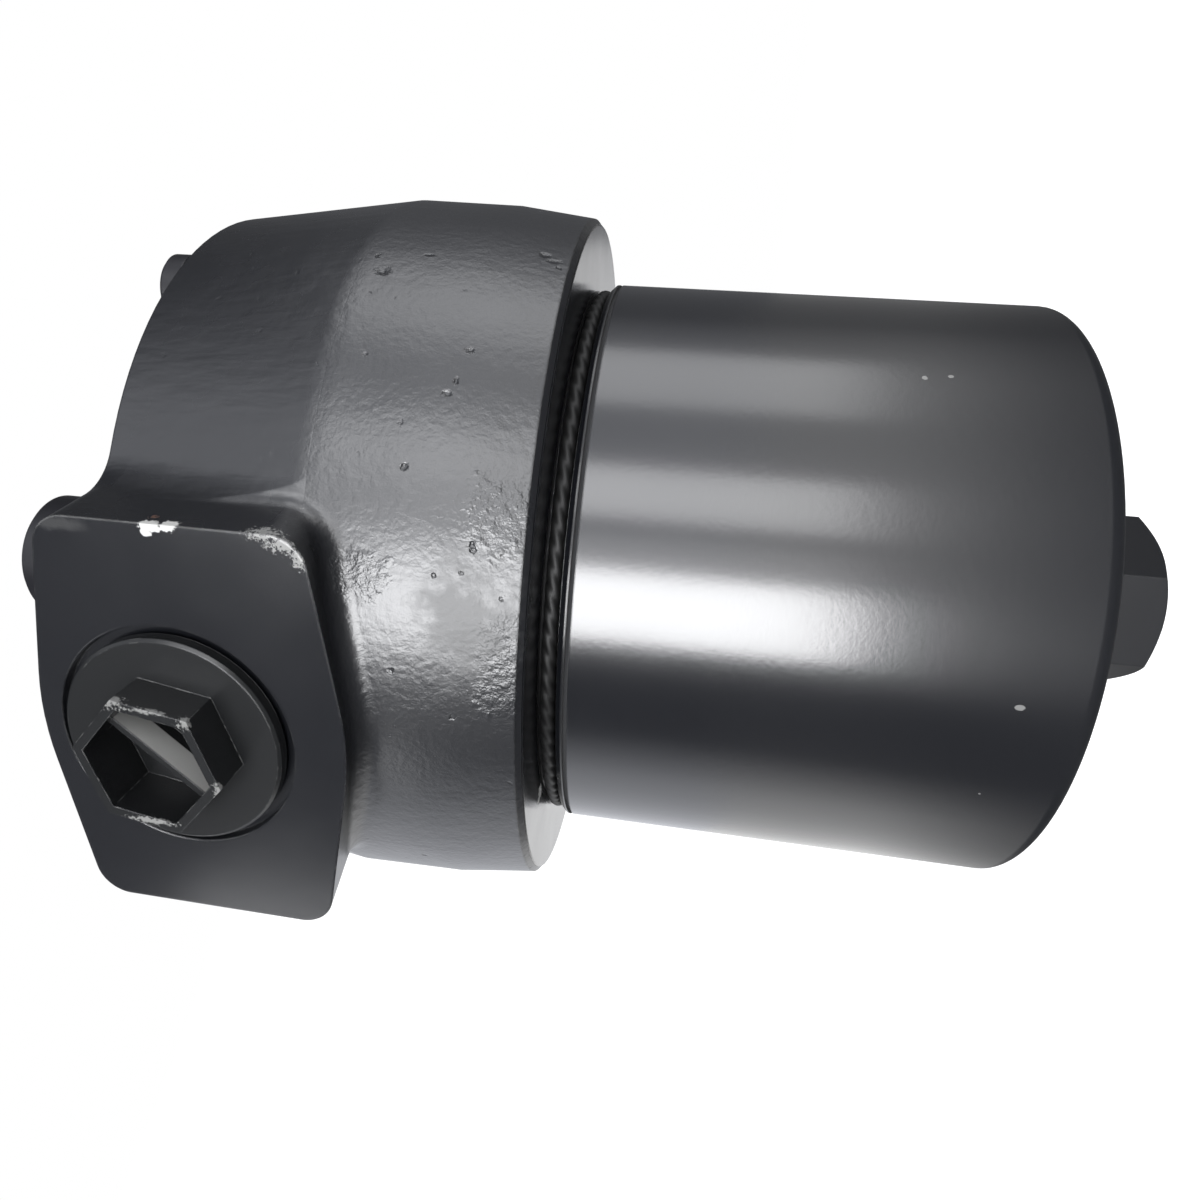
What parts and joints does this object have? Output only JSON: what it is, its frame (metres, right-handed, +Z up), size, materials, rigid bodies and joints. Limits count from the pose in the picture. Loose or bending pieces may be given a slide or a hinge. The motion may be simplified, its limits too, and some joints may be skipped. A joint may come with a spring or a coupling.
{
  "type": "high pressure filter",
  "caption": "Oil filter with a cast head, plugged side ports and a bowl with a hexagon end that screws in from below over a pleated element.",
  "frame": {"origin": "centre of the rectangle of mounting holes, in the head's top face", "axes": "+Z up the bowl axis, out of the head's top face; -Y out of the front port, +Y out of the rear port"},
  "size_m": [0.1252, 0.1498, 0.1761],
  "materials": {
    "head_paint": "satin paint over cast iron",
    "bowl_paint": "smooth satin paint over turned steel",
    "rubber": "matt",
    "backup_plastic": "matt",
    "spring_steel": "drawn wire",
    "copper": "dull",
    "dark_steel": "phosphated",
    "plug_plastic": "satin moulding",
    "zinc": "zinc plated",
    "media": "folded glass fibre sheet"
  },
  "bodies": {
    "head": {"filter_head": "head_paint"},
    "bowl_rings": {"dust_seal_ring": "rubber", "bowl_o_ring": "rubber", "bowl_backup_ring": "backup_plastic"},
    "bowl": {"filter_bowl": "bowl_paint", "element_spring": "spring_steel"},
    "drain_seal": {"drain_washer": "copper"},
    "drain": {"drain_plug": "dark_steel"},
    "front_seal": {"front_plug_seal": "rubber"},
    "front_plug": {"front_port_plug": "plug_plastic"},
    "rear_seal": {"rear_plug_seal": "rubber"},
    "rear_plug": {"rear_port_plug": "plug_plastic"},
    "indicator_seal": {"indicator_washer": "zinc"},
    "indicator": {"indicator_plug": "dark_steel"},
    "vent_seal": {"vent_washer": "zinc"},
    "vent": {"vent_plug": "dark_steel"},
    "element": {"element_top_cap": "zinc", "element_bottom_cap": "zinc", "element_core_tube": "zinc", "element_media": "media", "element_o_ring": "rubber", "bypass_cage": "zinc", "bypass_spring": "spring_steel"},
    "poppet": {"bypass_poppet": "dark_steel"}
  },
  "joints": [
    {"name": "bowl_travel", "type": "slide", "parent": "head", "child": "bowl_rings", "axis": [0, 0, -1], "range_m": [0, 0.03]},
    {"name": "bowl_turn", "type": "hinge", "parent": "bowl_rings", "child": "bowl", "pos_m": [0, 0, -0.076], "axis": [0, 0, -1], "range_deg": [0, 3600]},
    {"name": "drain_travel", "type": "slide", "parent": "bowl", "child": "drain_seal", "axis": [0, 0, -1], "range_m": [0, 0.01]},
    {"name": "drain_turn", "type": "hinge", "parent": "drain_seal", "child": "drain", "pos_m": [0, 0, -0.1728], "axis": [0, 0, -1], "range_deg": [0, 3600]},
    {"name": "front_plug_travel", "type": "slide", "parent": "head", "child": "front_seal", "axis": [0, -1, 0], "range_m": [0, 0.0127]},
    {"name": "front_plug_turn", "type": "hinge", "parent": "front_seal", "child": "front_plug", "pos_m": [-0.0075, -0.066, -0.0257], "axis": [0, -1, 0], "range_deg": [0, 2520]},
    {"name": "rear_plug_travel", "type": "slide", "parent": "head", "child": "rear_seal", "axis": [0, 1, 0], "range_m": [0, 0.0127]},
    {"name": "rear_plug_turn", "type": "hinge", "parent": "rear_seal", "child": "rear_plug", "pos_m": [-0.0075, 0.066, -0.0257], "axis": [0, 1, 0], "range_deg": [0, 2520]},
    {"name": "indicator_travel", "type": "slide", "parent": "head", "child": "indicator_seal", "axis": [0, 0, 1], "range_m": [0, 0.0107]},
    {"name": "indicator_turn", "type": "hinge", "parent": "indicator_seal", "child": "indicator", "pos_m": [0.0115, -0.0522, -0.0075], "axis": [0, 0, 1], "range_deg": [0, 2880]},
    {"name": "vent_travel", "type": "slide", "parent": "head", "child": "vent_seal", "axis": [0, 0, 1], "range_m": [0, 0.011]},
    {"name": "vent_turn", "type": "hinge", "parent": "vent_seal", "child": "vent", "pos_m": [0.0472, -0.0218, -0.0106], "axis": [0, 0, 1], "range_deg": [0, 3960]},
    {"name": "element_pull", "type": "slide", "parent": "head", "child": "element", "axis": [0, 0, -1], "range_m": [0, 0.008], "deforming": ["element_spring"]},
    {"name": "bypass_open", "type": "slide", "parent": "element", "child": "poppet", "axis": [0, 0, 1], "range_m": [0, 0.006], "stiffness_N_per_m": 1500, "springref_m": -0.004, "deforming": ["bypass_spring"]}
  ],
  "couplings": [
    {"joint": "bowl_travel", "follows": "bowl_turn", "m_per_rad": 0.00047746},
    {"joint": "drain_travel", "follows": "drain_turn", "m_per_rad": 0.00015915},
    {"joint": "front_plug_travel", "follows": "front_plug_turn", "m_per_rad": 0.00028871},
    {"joint": "rear_plug_travel", "follows": "rear_plug_turn", "m_per_rad": 0.00028871},
    {"joint": "indicator_travel", "follows": "indicator_turn", "m_per_rad": 0.00021279},
    {"joint": "vent_travel", "follows": "vent_turn", "m_per_rad": 0.00015915}
  ]
}
